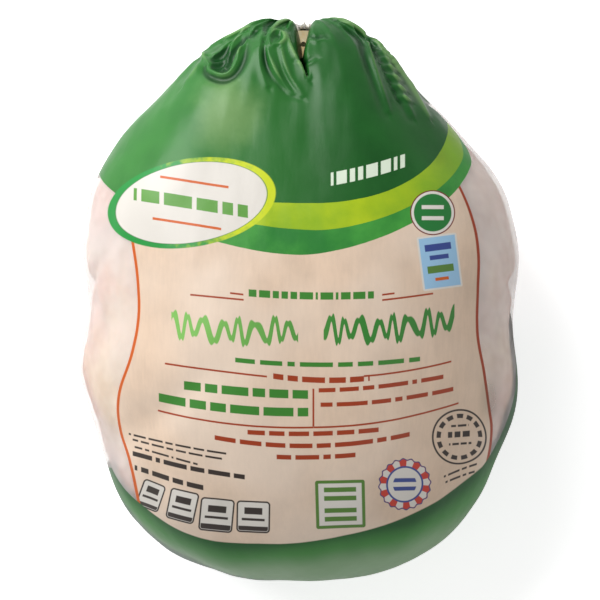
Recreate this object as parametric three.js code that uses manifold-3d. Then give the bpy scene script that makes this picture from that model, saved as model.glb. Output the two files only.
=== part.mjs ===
// A whole raw chicken sealed in a printed plastic bag. It lies on its back with the printed breast side up.
// Millimetres, +Z up. The bird's neck end points to -Y. Its legs point to +Y, where the bag is gathered and closed.
import * as THREE from "three";
import Module from "manifold-3d";
import { mergeVertices } from "three/addons/utils/BufferGeometryUtils.js";

// Driving dimensions
const LENGTH = 250;
const HALF = LENGTH / 2;

// The plan outline: half a width, the narrowing towards the legs, and the bulges at thigh and wing.
const SIDES = {
  left: { half: 90.7, narrowing: 0.45, from: 45, to: 124, thigh: 5.2, thighAt: 25, wing: 6.5, wingAt: -30 },
  right: { half: 89.8, narrowing: 0.48, from: 42, to: 114, thigh: 7, thighAt: 16, wing: 7, wingAt: -40 },
};
const BULGE_LENGTH = 26;
const NECK_END = { reach: 3.95, round: 2.23 };
const LEG_END = { reach: 5.4, round: 2.7 };

// The side view: the height of the widest line, the breast's crown and the flattened back.
const WIDEST = { middle: 48, neck: 46, legs: 60, spread: 20 };
const CROWN = { height: 113, neck: { reach: 2.6, round: 2.5 }, legs: { reach: 4, round: 2.4 }, fall: 0.34 };
const SOLE = { depth: -8, neck: { reach: 3.2, round: 2.8 }, legs: { reach: 2.4, round: 1.5 } };
const SECTION = { upper: 2.25, lower: 2.6 };

// Soft masses and hollows under the film: place, radii, turn about Z in degrees, and lift off the surface.
const MASSES = [
  { name: "left breast", at: [-30, -32, 108], radii: [32, 58, 60], turn: 4, lift: 3 },
  { name: "right breast", at: [30, -32, 108], radii: [32, 58, 60], turn: -4, lift: 3 },
  { name: "left thigh", at: [-62, 44, 84], radii: [26, 30, 34], turn: 24, lift: 3.5 },
  { name: "right thigh", at: [64, 36, 84], radii: [26, 30, 34], turn: -24, lift: 3 },
  { name: "left drumstick", at: [-40, 84, 84], radii: [17, 34, 30], turn: -28, lift: 4.5 },
  { name: "right drumstick", at: [32, 84, 84], radii: [18, 36, 30], turn: 18, lift: 5 },
  { name: "left leg end", at: [-17, 112, 78], radii: [13, 14, 22], turn: 0, lift: 3.5 },
  { name: "right leg end", at: [20, 112, 78], radii: [14, 14, 22], turn: 0, lift: 4 },
  { name: "fold over left wing", at: [-56, -46, 86], radii: [8, 27, 30], turn: -52, lift: -2.6 },
  { name: "fold over right wing", at: [60, -52, 86], radii: [8, 27, 30], turn: 50, lift: -1.8 },
  { name: "hollow between the legs", at: [3, 88, 92], radii: [9, 26, 30], turn: 0, lift: -3.5 },
  { name: "hollow under the gather", at: [2, 120, 42], radii: [26, 18, 17], turn: 0, lift: -5 },
];

// The gather: where the film is drawn together in the cleft between the legs, and its pleats.
const GATHER = { x: 1.5, z: 62 };
const PLEATS = { count: 15, height: 2.4, starts: 8, fullAt: 16, length: 34, sharpness: 5 };
const CLEFT = { tip: 95, wall: 106, halfWidth: 3.2, mouth: 7, floor: 50, recessRadius: 8, recessWall: 103 };

// The bag's neck, its flat tail and the sleeve that closes it.
const NECK = { radius: 2.6, start: 98, end: 120.2 };
const TAIL = { top: 66, bottom: 28, topWidth: 7, bottomWidth: 30, thickness: 2.2, pleats: 5, wave: 1.1, y: 120.5 };
const SLEEVE = { inner: 2.95, outer: 3.9, start: 107, end: 119, holeRadius: 1.2, holeAt: 113 };

const COLUMNS = 92;
const ROWS = 46;
const ROW_BIAS = 0.88;

const ease = (from, to, x) => {
  const t = Math.min(1, Math.max(0, (x - from) / (to - from)));
  return t * t * (3 - 2 * t);
};

const bell = (x, centre, width) => Math.exp(-(((x - centre) / width) ** 2));

// 1 at mid length and 0 at both ends, as a superellipse.
const taper = (y, reach, round) => Math.max(0, 1 - Math.min(1, Math.abs(y) / HALF) ** reach) ** (1 / round);

function halfWidth(y, side) {
  const end = y < 0 ? NECK_END : LEG_END;
  const narrowed = 1 - side.narrowing * ease(side.from, side.to, y);
  return (
    side.half * taper(y, end.reach, end.round) * narrowed +
    side.thigh * bell(y, side.thighAt, BULGE_LENGTH) +
    side.wing * bell(y, side.wingAt, BULGE_LENGTH)
  );
}

function widestHeight(y) {
  const toLegs = ease(WIDEST.spread, HALF, y);
  const toNeck = ease(WIDEST.spread, HALF, -y);
  return WIDEST.middle + (WIDEST.legs - WIDEST.middle) * toLegs + (WIDEST.neck - WIDEST.middle) * toNeck;
}

// A point of the smooth body: turn runs round the Y axis from +X over the top, and along runs from neck to legs.
function bodyPoint(turn, along) {
  const y = -HALF * Math.cos(Math.PI * along);
  const c = Math.cos(turn);
  const s = Math.sin(turn);
  const power = 2 / (s > 0 ? SECTION.upper : SECTION.lower);
  const x = Math.sign(c) * Math.abs(c) ** power * halfWidth(y, c > 0 ? SIDES.right : SIDES.left);
  const end = y < 0 ? "neck" : "legs";
  const widest = widestHeight(y);
  const falling = 1 - CROWN.fall * ease(0, HALF, y);
  const crown = (CROWN.height - widest) * taper(y, CROWN[end].reach, CROWN[end].round) * falling;
  const sole = (widest - SOLE.depth) * taper(y, SOLE[end].reach, SOLE[end].round);
  const z = widest + Math.sign(s) * Math.abs(s) ** power * (s > 0 ? crown : sole);
  return new THREE.Vector3(x, y, z);
}

function bodyNormal(turn, along) {
  if (along <= 0) return new THREE.Vector3(0, -1, 0);
  if (along >= 1) return new THREE.Vector3(0, 1, 0);
  const step = 1e-3;
  const across = bodyPoint(turn + step, along).sub(bodyPoint(turn - step, along));
  const lengthways = bodyPoint(turn, Math.min(1, along + step)).sub(bodyPoint(turn, Math.max(0, along - step)));
  return lengthways.cross(across).normalize();
}

function massLift(p) {
  let lift = 0;
  for (const mass of MASSES) {
    const turn = THREE.MathUtils.degToRad(mass.turn);
    const dx = p.x - mass.at[0];
    const dy = p.y - mass.at[1];
    const across = (dx * Math.cos(turn) + dy * Math.sin(turn)) / mass.radii[0];
    const lengthways = (dy * Math.cos(turn) - dx * Math.sin(turn)) / mass.radii[1];
    const up = (p.z - mass.at[2]) / mass.radii[2];
    lift += mass.lift * Math.exp(-(across ** 2 + lengthways ** 2 + up ** 2));
  }
  return lift;
}

// Pleats run out from the gather, highest near it, and die away along the legs.
function pleatLift(p) {
  if (p.y < 0) return 0;
  const dx = p.x - GATHER.x;
  const dz = p.z - GATHER.z;
  const out = Math.hypot(dx, dz, 0.6 * (HALF - p.y));
  const angle = Math.atan2(dz, dx);
  const uneven = 1 + 0.35 * Math.sin(3 * angle + 0.7);
  const crest = Math.abs(Math.cos(0.5 * PLEATS.count * angle + 0.6 * Math.sin(2 * angle))) ** PLEATS.sharpness;
  const rise = ease(PLEATS.starts, PLEATS.fullAt, out);
  return PLEATS.height * uneven * crest * rise * Math.exp(-(((out - PLEATS.fullAt) / PLEATS.length) ** 2));
}

// A closed surface over the whole body, with one vertex at each end.
function bodyGeometry() {
  const positions = [];
  const index = [];
  const place = (turn, along) => {
    const p = bodyPoint(turn, along);
    p.addScaledVector(bodyNormal(turn, along), massLift(p) + pleatLift(p));
    positions.push(p.x, Math.min(HALF, Math.max(-HALF, p.y)), Math.max(0, p.z));
  };
  place(0, 0);
  for (let row = 1; row < ROWS; row++)
    for (let column = 0; column < COLUMNS; column++)
      place((2 * Math.PI * column) / COLUMNS, (row / ROWS) ** ROW_BIAS);
  place(0, 1);
  const last = positions.length / 3 - 1;
  const at = (row, column) => 1 + (row - 1) * COLUMNS + (column % COLUMNS);
  for (let column = 0; column < COLUMNS; column++) {
    index.push(0, at(1, column), at(1, column + 1));
    index.push(last, at(ROWS - 1, column + 1), at(ROWS - 1, column));
    for (let row = 1; row < ROWS - 1; row++) {
      const [a, b] = [at(row, column), at(row, column + 1)];
      const [c, d] = [at(row + 1, column), at(row + 1, column + 1)];
      index.push(a, c, d, a, d, b);
    }
  }
  const geometry = new THREE.BufferGeometry();
  geometry.setAttribute("position", new THREE.Float32BufferAttribute(positions, 3));
  geometry.setIndex(index);
  return geometry;
}

// The cleft between the leg ends: a wedge seen from above, open at the top and at the end.
function cleftGeometry() {
  const outline = new THREE.Shape();
  outline.moveTo(GATHER.x + 2, CLEFT.tip);
  outline.quadraticCurveTo(GATHER.x + CLEFT.halfWidth, CLEFT.wall, GATHER.x + CLEFT.mouth, LENGTH);
  outline.lineTo(GATHER.x - CLEFT.mouth, LENGTH);
  outline.quadraticCurveTo(GATHER.x - CLEFT.halfWidth, CLEFT.wall, GATHER.x + 2, CLEFT.tip);
  const geometry = new THREE.ExtrudeGeometry(outline, { depth: LENGTH, bevelEnabled: false, curveSegments: 8 });
  return geometry.translate(0, 0, CLEFT.floor);
}

// The round recess in the end face where the pleats meet.
function recessGeometry() {
  const depth = LENGTH;
  const profile = [
    new THREE.Vector2(0, 0),
    new THREE.Vector2(CLEFT.recessRadius * 0.55, 0.8),
    new THREE.Vector2(CLEFT.recessRadius * 0.85, 4),
    new THREE.Vector2(CLEFT.recessRadius, 10),
    new THREE.Vector2(CLEFT.recessRadius * 1.6, 24),
    new THREE.Vector2(CLEFT.recessRadius * 1.6, depth),
    new THREE.Vector2(0, depth),
  ];
  return new THREE.LatheGeometry(profile, 20).translate(0, CLEFT.recessWall, 0).translate(GATHER.x, 0, GATHER.z);
}

function neckGeometry() {
  const length = NECK.end - NECK.start;
  const geometry = new THREE.CylinderGeometry(NECK.radius, NECK.radius, length, 16);
  return geometry.translate(GATHER.x, NECK.start + length / 2, GATHER.z);
}

// The tail of film beyond the closure: a pleated fan that hangs down the end of the bag.
function tailGeometry() {
  const steps = 4 * TAIL.pleats;
  const front = [];
  const back = [];
  for (let i = 0; i <= steps; i++) {
    const t = i / steps - 0.5;
    const wave = TAIL.wave * Math.sin(2 * Math.PI * TAIL.pleats * t);
    front.push(new THREE.Vector2(t, wave + TAIL.thickness / 2));
    back.unshift(new THREE.Vector2(t, wave - TAIL.thickness / 2));
  }
  const height = TAIL.top - TAIL.bottom;
  const geometry = new THREE.ExtrudeGeometry(new THREE.Shape([...front, ...back]), {
    depth: 1,
    steps: 6,
    bevelEnabled: false,
  });
  const place = geometry.getAttribute("position");
  for (let i = 0; i < place.count; i++) {
    const down = 1 - place.getZ(i);
    const width = TAIL.topWidth + (TAIL.bottomWidth - TAIL.topWidth) * down ** 0.8;
    const x = GATHER.x + place.getX(i) * width;
    const y = TAIL.y + place.getY(i) * (0.6 + 0.4 * down) - 2 * down ** 2;
    place.setXYZ(i, x, y, TAIL.top - height * down);
  }
  return geometry;
}

function sleeveGeometry() {
  const ring = new THREE.Shape().absarc(0, 0, SLEEVE.outer, 0, 2 * Math.PI);
  ring.holes.push(new THREE.Path().absarc(0, 0, SLEEVE.inner, 0, 2 * Math.PI, true));
  const depth = SLEEVE.end - SLEEVE.start;
  const geometry = new THREE.ExtrudeGeometry(ring, { depth, bevelEnabled: false, curveSegments: 12 });
  return geometry.rotateX(Math.PI / 2).translate(GATHER.x, SLEEVE.end, GATHER.z);
}

function holeGeometry() {
  const geometry = new THREE.CylinderGeometry(SLEEVE.holeRadius, SLEEVE.holeRadius, SLEEVE.outer * 2, 12);
  return geometry.rotateX(Math.PI / 2).translate(GATHER.x, SLEEVE.holeAt, GATHER.z + SLEEVE.outer);
}

const wasm = await Module();
wasm.setup();

function solidOf(geometry) {
  const bare = geometry.clone();
  bare.deleteAttribute("normal");
  bare.deleteAttribute("uv");
  const merged = mergeVertices(bare, 1e-3);
  const mesh = new wasm.Mesh({
    numProp: 3,
    vertProperties: merged.getAttribute("position").array,
    triVerts: new Uint32Array(merged.getIndex().array),
  });
  return new wasm.Manifold(mesh);
}

function meshOf(solid, name, material) {
  const made = solid.getMesh();
  const geometry = new THREE.BufferGeometry();
  geometry.setAttribute("position", new THREE.BufferAttribute(new Float32Array(made.vertProperties), 3));
  geometry.setIndex(new THREE.BufferAttribute(new Uint32Array(made.triVerts), 1));
  geometry.computeVertexNormals();
  const mesh = new THREE.Mesh(geometry, material);
  mesh.name = name;
  return mesh;
}

const filmMaterial = new THREE.MeshStandardMaterial({ color: 0x3f7f42, roughness: 0.35, metalness: 0 });
const sleeveMaterial = new THREE.MeshStandardMaterial({ color: 0xd0b98a, roughness: 0.5, metalness: 0 });

const bag = solidOf(bodyGeometry())
  .subtract(solidOf(cleftGeometry()))
  .subtract(solidOf(recessGeometry()))
  .add(solidOf(neckGeometry()))
  .add(solidOf(tailGeometry()));
const sleeve = solidOf(sleeveGeometry()).subtract(solidOf(holeGeometry()));

const chicken = new THREE.Group();
chicken.add(meshOf(bag, "bagged_chicken", filmMaterial));
chicken.add(meshOf(sleeve, "neck_closure", sleeveMaterial));

export default chicken;
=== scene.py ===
"""A whole raw chicken in a printed, gathered plastic bag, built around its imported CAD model.

The film, the bird in it, the tail of the bag and the closure are surfaces worked out with numpy.
Lengths in the form and print values are millimetres unless a name or a property says otherwise.
"""

import math
from typing import NamedTuple

import bpy
import numpy as np
from bpy.props import FloatProperty, FloatVectorProperty, IntProperty, PointerProperty
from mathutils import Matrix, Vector


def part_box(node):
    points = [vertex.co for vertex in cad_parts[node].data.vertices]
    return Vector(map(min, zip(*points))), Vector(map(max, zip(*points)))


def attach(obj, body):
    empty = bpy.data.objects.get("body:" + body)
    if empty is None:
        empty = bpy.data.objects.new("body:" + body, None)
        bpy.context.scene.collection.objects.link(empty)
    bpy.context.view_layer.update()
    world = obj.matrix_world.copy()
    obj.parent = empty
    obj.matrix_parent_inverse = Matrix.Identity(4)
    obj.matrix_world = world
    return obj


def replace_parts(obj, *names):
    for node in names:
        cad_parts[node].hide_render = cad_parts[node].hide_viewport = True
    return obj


bl_info = {
    "name": "Bagged Whole Chicken",
    "version": (1, 0, 0),
    "blender": (4, 5, 0),
    "location": "View3D > Sidebar > Chicken",
    "description": "Builds a whole raw chicken in a printed and gathered plastic bag",
    "category": "Add Mesh",
}

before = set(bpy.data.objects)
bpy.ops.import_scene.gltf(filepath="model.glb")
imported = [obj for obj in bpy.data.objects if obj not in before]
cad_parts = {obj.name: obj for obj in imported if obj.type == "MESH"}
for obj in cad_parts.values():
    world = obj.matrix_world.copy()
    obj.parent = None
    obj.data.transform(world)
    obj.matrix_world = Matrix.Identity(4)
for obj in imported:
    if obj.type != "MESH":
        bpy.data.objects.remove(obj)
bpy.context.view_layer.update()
BAG_LOW, BAG_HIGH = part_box("bagged_chicken")
SLEEVE_LOW, SLEEVE_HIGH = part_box("neck_closure")

MM = 0.001
HALF = (BAG_HIGH.y - BAG_LOW.y) / 2 / MM
GATHER = np.array([SLEEVE_LOW.x + SLEEVE_HIGH.x, 0, SLEEVE_LOW.z + SLEEVE_HIGH.z]) / 2 / MM


# The form of the bag


class Side(NamedTuple):
    """One side of the plan outline: half a width, its narrowing to the legs, and two bulges."""

    half: float
    narrowing: float
    start: float
    stop: float
    thigh: float
    thigh_at: float
    wing: float
    wing_at: float


class End(NamedTuple):
    """How one end of the bag tapers: a superellipse's reach and roundness for one outline."""

    reach: float
    power: float


class Mass(NamedTuple):
    """A soft bulge or hollow: place, radii, turn about Z in degrees, and lift off the surface."""

    at: tuple
    radii: tuple
    turn: float
    lift: float


LEFT = Side(90.7, 0.45, 45, 124, 5.2, 25, 6.5, -30)
RIGHT = Side(89.8, 0.48, 42, 114, 7.0, 16, 7.0, -40)
BULGE_LENGTH = 26
PLAN = {"neck": End(3.95, 2.23), "legs": End(5.4, 2.7)}
CROWN = {"neck": End(2.6, 2.5), "legs": End(4, 2.4)}
SOLE = {"neck": End(3.2, 2.8), "legs": End(2.4, 1.5)}
CROWN_HEIGHT = 113
CROWN_FALL = 0.34
SOLE_DEPTH = -8
WIDEST_MIDDLE, WIDEST_NECK, WIDEST_LEGS, WIDEST_SPREAD = 48, 46, 60, 20
SECTION_UPPER, SECTION_LOWER = 2.25, 2.6

MASSES = {
    "left breast": Mass((-30, -32, 108), (32, 58, 60), 4, 3),
    "right breast": Mass((30, -32, 108), (32, 58, 60), -4, 3),
    "left thigh": Mass((-62, 44, 84), (26, 30, 34), 24, 3.5),
    "right thigh": Mass((64, 36, 84), (26, 30, 34), -24, 3),
    "left drumstick": Mass((-40, 84, 84), (17, 34, 30), -28, 4.5),
    "right drumstick": Mass((26, 84, 84), (24, 36, 30), 18, 4),
    "left leg end": Mass((-17, 112, 78), (13, 14, 22), 0, 3.5),
    "right leg end": Mass((20, 112, 78), (14, 14, 22), 0, 4),
    "fold over left wing": Mass((-56, -46, 86), (8, 27, 30), -52, -2.6),
    "fold over right wing": Mass((60, -52, 86), (8, 27, 30), 50, -1.8),
    "hollow between the legs": Mass((3, 88, 92), (9, 26, 30), 0, -0.6),
    "hollow under the gather": Mass((2, 120, 42), (26, 18, 17), 0, -5),
    "fall of the left leg end": Mass((-29, 122, 76), (9, 12, 26), 0, -4.6),
    "fall of the right leg end": Mass((29, 123, 76), (9, 12, 26), 0, -5.4),
}

PLEAT_SPREAD = 34
PLEAT_SHARPNESS = 5
PLEATS_START, PLEATS_FULL = 8, 16
SMOOTH_TOP_START, SMOOTH_TOP_STOP, SMOOTH_TOP_SHARE = 66, 88, 0.85
WAVE_HEIGHT, WAVE_SIZE = 0.5, 34
CALM_START, CALM_STOP, CALM_SHARE = 80, 104, 0.28
RECESS_DEPTH, RECESS_RADIUS, RECESS_NARROWING = 22, 10, 0.34
CLEFT_TIP, CLEFT_DEEP = 97, 107
CLEFT_TIP_X, CLEFT_MIDDLE_X, CLEFT_END_X = 3.2, 0.6, 1.6
CLEFT_HALF_WIDTH = 2.3
LEG_TIP_LIMIT, LEG_TIP_SOFTNESS = HALF + 0.7, 3

# The grids: the film's rows crowd together over the legs, and most of its columns lie on top.
ROW_CROWDING, CROWDING_START, CROWDING_STOP = 2.6, 0.62, 0.76
TOP_COLUMNS = 0.8
BIRD_ROWS, BIRD_COLUMNS = 240, 280
NECK_ROWS, NECK_COLUMNS = 41, 120
TAIL_ROWS, TAIL_COLUMNS = 26, 460


class Fold(NamedTuple):
    """A fold of film seen from above: its line, crest height and width, and the trough beside it.

    A positive trough lies to the right of the line, a negative one to the left.
    """

    line: tuple
    height: float
    width: float
    trough: float
    trough_width: float


FOLDS = {
    "shoulder ridge": Fold(((-41.8, 109), (-45.5, 102), (-50.7, 94.8)), 1.0, 1.3, 0.7, 2),
    "pocket rim": Fold(
        ((-42.5, 108), (-40.6, 104.5), (-39.9, 101.5), (-37.4, 99.8), (-34.3, 98.9), (-31.2, 99.6),
         (-28.6, 102.5), (-26.8, 106.5), (-26, 110.5)), 2.0, 1.2, 1.2, 2.0),
    "finger left": Fold(((-22, 118.6), (-27, 115.6), (-30.8, 110), (-33.6, 103.6)), 1.7, 1.1, -1.3, 1.5),
    "finger right": Fold(((-23, 114.4), (-27.4, 108), (-30.4, 102.6)), 1.3, 1.0, 0.8, 1.3),
    "pocket crease": Fold(((-32, 113.4), (-35.6, 110), (-39.4, 108.6)), 1.1, 1.0, -1.0, 1.3),
    "low pocket crease": Fold(((-33.4, 108), (-36.4, 105.6), (-39.4, 104.4)), 1.0, 1.0, -1.0, 1.3),
    "high crease": Fold(((-20, 120.6), (-26, 119.4), (-32.6, 115.6)), 0.9, 1.1, -0.9, 1.4),
    "peak": Fold(((-12.9, 118.8), (-9, 122.6), (-5.6, 124), (-2.6, 122.2)), 1.9, 1.3, -1.3, 1.8),
    "lip of the cleft": Fold(((-5.6, 117), (-4.2, 112), (-1.6, 106.4), (0.6, 102.6), (3.2, 97.6)),
                             1.5, 1.2, -1.1, 1.8),
    "loop": Fold(((-13, 112.4), (-13.4, 115.6), (-11, 118), (-7.8, 117.4), (-7, 114.6), (-9, 112.6),
                  (-12, 112)), 1.4, 1.1, 0.9, 1.3),
    "outer pleat": Fold(((-16.5, 118), (-17.4, 110.6), (-17.2, 102), (-14.6, 94)), 1.1, 1.2, -0.9, 1.6),
    "inner pleat": Fold(((-15, 112), (-12.8, 105), (-9, 97.4), (-3.6, 91)), 1.2, 1.2, 0.9, 1.8),
    "short pleat": Fold(((-8.2, 110), (-6.6, 103), (-3.6, 96.4), (1, 89.6)), 1.0, 1.1, 0.8, 1.5),
    "right lip crease": Fold(((4, 114.4), (7, 113.6), (10.6, 114.2)), 0.8, 1.0, -0.7, 1.2),
    "crossing crease": Fold(((-0.6, 103.8), (3.4, 103.4), (6.6, 104.6)), 0.7, 0.9, -0.7, 1.2),
    "far ridge": Fold(((17.8, 123.4), (24.6, 120.8), (29, 116), (31.2, 106.8), (35.6, 93), (38.8, 83)),
                      1.5, 1.2, 1.0, 2.2),
    "braid": Fold(((32.4, 117), (35, 111.4), (38.2, 104.8), (43.8, 93), (49.4, 81)), 1.2, 1.2, 0.9, 1.8),
    "flap": Fold(((36, 115.4), (40, 108.6), (43, 103), (47.8, 96.6), (51.4, 90), (56.6, 80.6)),
                 1.5, 1.3, -0.8, 1.8),
}
BRAID_CREASES = 9
POCKET = Mass((-35, 106, 84), (5.4, 7, 24), 0, -3)


def ease(start, stop, x):
    """0 before start, 1 after stop, and a smooth S between them."""
    t = np.clip((x - start) / (stop - start), 0, 1)
    return t * t * (3 - 2 * t)


def bell(x, centre, width):
    """A bell curve of height 1."""
    return np.exp(-(((x - centre) / width) ** 2))


def taper(y, ends):
    """1 at mid length and 0 at both ends: a superellipse with its own shape at each end."""
    share = np.minimum(1, np.abs(y) / HALF)
    neck, legs = (np.clip(1 - share**e.reach, 0, 1) ** (1 / e.power) for e in (ends["neck"], ends["legs"]))
    return np.where(y < 0, neck, legs)


def half_width(y, side):
    """Half the plan's width at y: the tapered half, narrowed to the legs, with thigh and wing bulges."""
    narrowed = 1 - side.narrowing * ease(side.start, side.stop, y)
    thigh = side.thigh * bell(y, side.thigh_at, BULGE_LENGTH)
    wing = side.wing * bell(y, side.wing_at, BULGE_LENGTH)
    return side.half * taper(y, PLAN) * narrowed + thigh + wing


def widest_height(y):
    """The height of the widest line, which rises towards the legs."""
    to_legs = (WIDEST_LEGS - WIDEST_MIDDLE) * ease(WIDEST_SPREAD, HALF, y)
    to_neck = (WIDEST_NECK - WIDEST_MIDDLE) * ease(WIDEST_SPREAD, HALF, -y)
    return WIDEST_MIDDLE + to_legs + to_neck


def smooth_body(turn, along):
    """Points of the smooth body: at each y a section that is a superellipse, wider above its widest line.

    turn runs round the Y axis from +X over the top, and along runs from the neck end to the legs.
    """
    y = -HALF * np.cos(math.pi * along)
    c, s = np.cos(turn), np.sin(turn)
    power = np.where(s > 0, 2 / SECTION_UPPER, 2 / SECTION_LOWER)
    width = np.where(c > 0, half_width(y, RIGHT), half_width(y, LEFT))
    widest = widest_height(y)
    crown = (CROWN_HEIGHT - widest) * taper(y, CROWN) * (1 - CROWN_FALL * ease(0, HALF, y))
    sole = (widest - SOLE_DEPTH) * taper(y, SOLE)
    x = np.sign(c) * np.abs(c) ** power * width
    z = widest + np.sign(s) * np.abs(s) ** power * np.where(s > 0, crown, sole)
    return np.stack([x, y, z], axis=-1)


def grid_normals(points):
    """Outward unit normals of a grid of rows from neck to legs, whose columns close on themselves."""
    lengthways = np.gradient(points, axis=0)
    across = np.roll(points, -1, axis=1) - np.roll(points, 1, axis=1)
    normals = np.cross(lengthways, across)
    normals[0], normals[-1] = (0, -1, 0), (0, 1, 0)
    size = np.linalg.norm(normals, axis=-1, keepdims=True)
    return normals / np.maximum(size, 1e-9)


def mass_share(p, mass):
    """How much of a mass is felt at p: a bell over an ellipsoid turned about Z."""
    turn = math.radians(mass.turn)
    dx, dy, dz = (p[..., i] - mass.at[i] for i in range(3))
    across = (dx * math.cos(turn) + dy * math.sin(turn)) / mass.radii[0]
    lengthways = (dy * math.cos(turn) - dx * math.sin(turn)) / mass.radii[1]
    return np.exp(-(across**2 + lengthways**2 + (dz / mass.radii[2]) ** 2))


def mass_lift(p):
    """The lift of every mass and hollow, added up."""
    return sum(mass.lift * mass_share(p, mass) for mass in MASSES.values())


def soft_body(turn, along):
    """The smooth body, its normals, and the body lifted along them by its masses."""
    base = smooth_body(turn, along)
    normals = grid_normals(base)
    return base, normals, base + normals * mass_lift(base)[..., None]


def pleat_lift(p, count, height):
    """Crests that run out from the gather, highest near it and dying away along the legs."""
    dx, dz = p[..., 0] - GATHER[0], p[..., 2] - GATHER[2]
    out = np.sqrt(dx**2 + dz**2 + (0.6 * (HALF - p[..., 1])) ** 2)
    angle = np.arctan2(dz, dx)
    uneven = 1 + 0.35 * np.sin(3 * angle + 0.7)
    crest = np.abs(np.cos(0.5 * count * angle + 0.6 * np.sin(2 * angle))) ** PLEAT_SHARPNESS
    reach = ease(PLEATS_START, PLEATS_FULL, out) * bell(out, PLEATS_FULL, PLEAT_SPREAD)
    calm = 1 - SMOOTH_TOP_SHARE * ease(SMOOTH_TOP_START, SMOOTH_TOP_STOP, p[..., 2])
    return np.where(p[..., 1] > 0, height * uneven * crest * reach * calm, 0)


def ripples(p, size, count, seed):
    """Smooth unevenness between about -1 and 1: a sum of sine waves in seeded directions."""
    random = np.random.default_rng(seed)
    total = np.zeros(p.shape[:-1])
    for _ in range(count):
        direction = random.normal(size=3)
        direction *= 2 * math.pi / (size * random.uniform(0.7, 1.6)) / np.linalg.norm(direction)
        total += np.sin(p @ direction + random.uniform(0, 2 * math.pi))
    return total / math.sqrt(count)


def broad_waves(soft):
    """The broad unevenness that the film and the bird under it share, which is less on top."""
    height = WAVE_HEIGHT - CALM_SHARE * ease(CALM_START, CALM_STOP, soft[..., 2])
    return height * ripples(soft, WAVE_SIZE, 9, seed=4)


def smooth_line(points, steps=8):
    """A Catmull-Rom curve through the points."""
    p = np.array(points, float)
    p = np.vstack([2 * p[0] - p[1], p, 2 * p[-1] - p[-2]])
    t = np.linspace(0, 1, steps, endpoint=False)[:, None]
    spans = []
    for a, b, c, d in zip(p, p[1:], p[2:], p[3:]):
        spans.append(b + 0.5 * t * (c - a + t * (2 * a - 5 * b + 4 * c - d + t * (3 * (b - c) + d - a))))
    return np.vstack([*spans, p[-2:-1]])


def line_distance(xy, line):
    """For each point: its distance to the line, which side it is on, and its share of the way along."""
    nearest = np.full(len(xy), np.inf)
    side, share = np.zeros(len(xy)), np.zeros(len(xy))
    steps = len(line) - 1
    for i, (a, b) in enumerate(zip(line, line[1:])):
        run = b - a
        t = np.clip((xy - a) @ run / (run @ run), 0, 1)
        off = xy - a - t[:, None] * run
        distance = np.hypot(off[:, 0], off[:, 1])
        closer = distance < nearest
        nearest = np.where(closer, distance, nearest)
        side = np.where(closer, np.sign(off[:, 0] * run[1] - off[:, 1] * run[0]), side)
        share = np.where(closer, (i + t) / steps, share)
    return nearest, side, share


def braid_creases():
    """Short folds that lie slantwise across the braid's line, evenly along it."""
    line = smooth_line(FOLDS["braid"].line)
    for place in np.linspace(0.1, 0.9, BRAID_CREASES) * (len(line) - 2):
        at, ahead = line[int(place)], line[int(place) + 1]
        run = (ahead - at) / np.linalg.norm(ahead - at)
        slant = np.array([run[0] * 0.82 - run[1] * 0.57, run[1] * 0.82 + run[0] * 0.57])
        yield Fold((tuple(at - 2.6 * slant), tuple(at), tuple(at + 3.2 * slant)), 0.9, 0.9, 0.7, 1.1)


def fold_lift(p):
    """The lift of the folds near the gather: a sharp crest on each line, with a trough along one side.

    It dies away below the widest line.
    """
    flat = p.reshape(-1, 3)
    near = np.flatnonzero((flat[:, 1] > 70) & (flat[:, 2] > WIDEST_LEGS - 14))
    lift = np.zeros(len(flat))
    xy = flat[near, :2]
    for fold in (*FOLDS.values(), *braid_creases()):
        distance, side, share = line_distance(xy, smooth_line(fold.line))
        fade = np.sin(math.pi * np.clip(0.12 + 0.8 * share, 0, 1)) ** 0.6
        crest = fold.height * np.exp(-((distance / fold.width) ** 1.5))
        beside = side * distance - np.sign(fold.trough) * (fold.width + 0.5 * fold.trough_width)
        lift[near] += fade * (crest - abs(fold.trough) * np.exp(-((beside / fold.trough_width) ** 2)))
    lift[near] += POCKET.lift * mass_share(flat[near], POCKET)
    lift[near] *= ease(WIDEST_LEGS - 12, WIDEST_LEGS + 12, flat[near, 2])
    return lift.reshape(p.shape[:-1])


def draw_into_recess(p, margin=0.0):
    """The surface near the gather sinks into the recess where the pleats meet, which is narrower above."""
    up = p[..., 2] - GATHER[2]
    out = np.hypot(p[..., 0] - GATHER[0], up)
    radius = RECESS_RADIUS * (1 - RECESS_NARROWING * ease(0, 1, up / np.maximum(out, 1e-6))) + margin
    depth = (RECESS_DEPTH + margin) * np.exp(-((out / radius) ** 3.5))
    return p - (depth * ease(98, 112, p[..., 1]))[..., None] * np.array([0, 1, 0])


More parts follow.
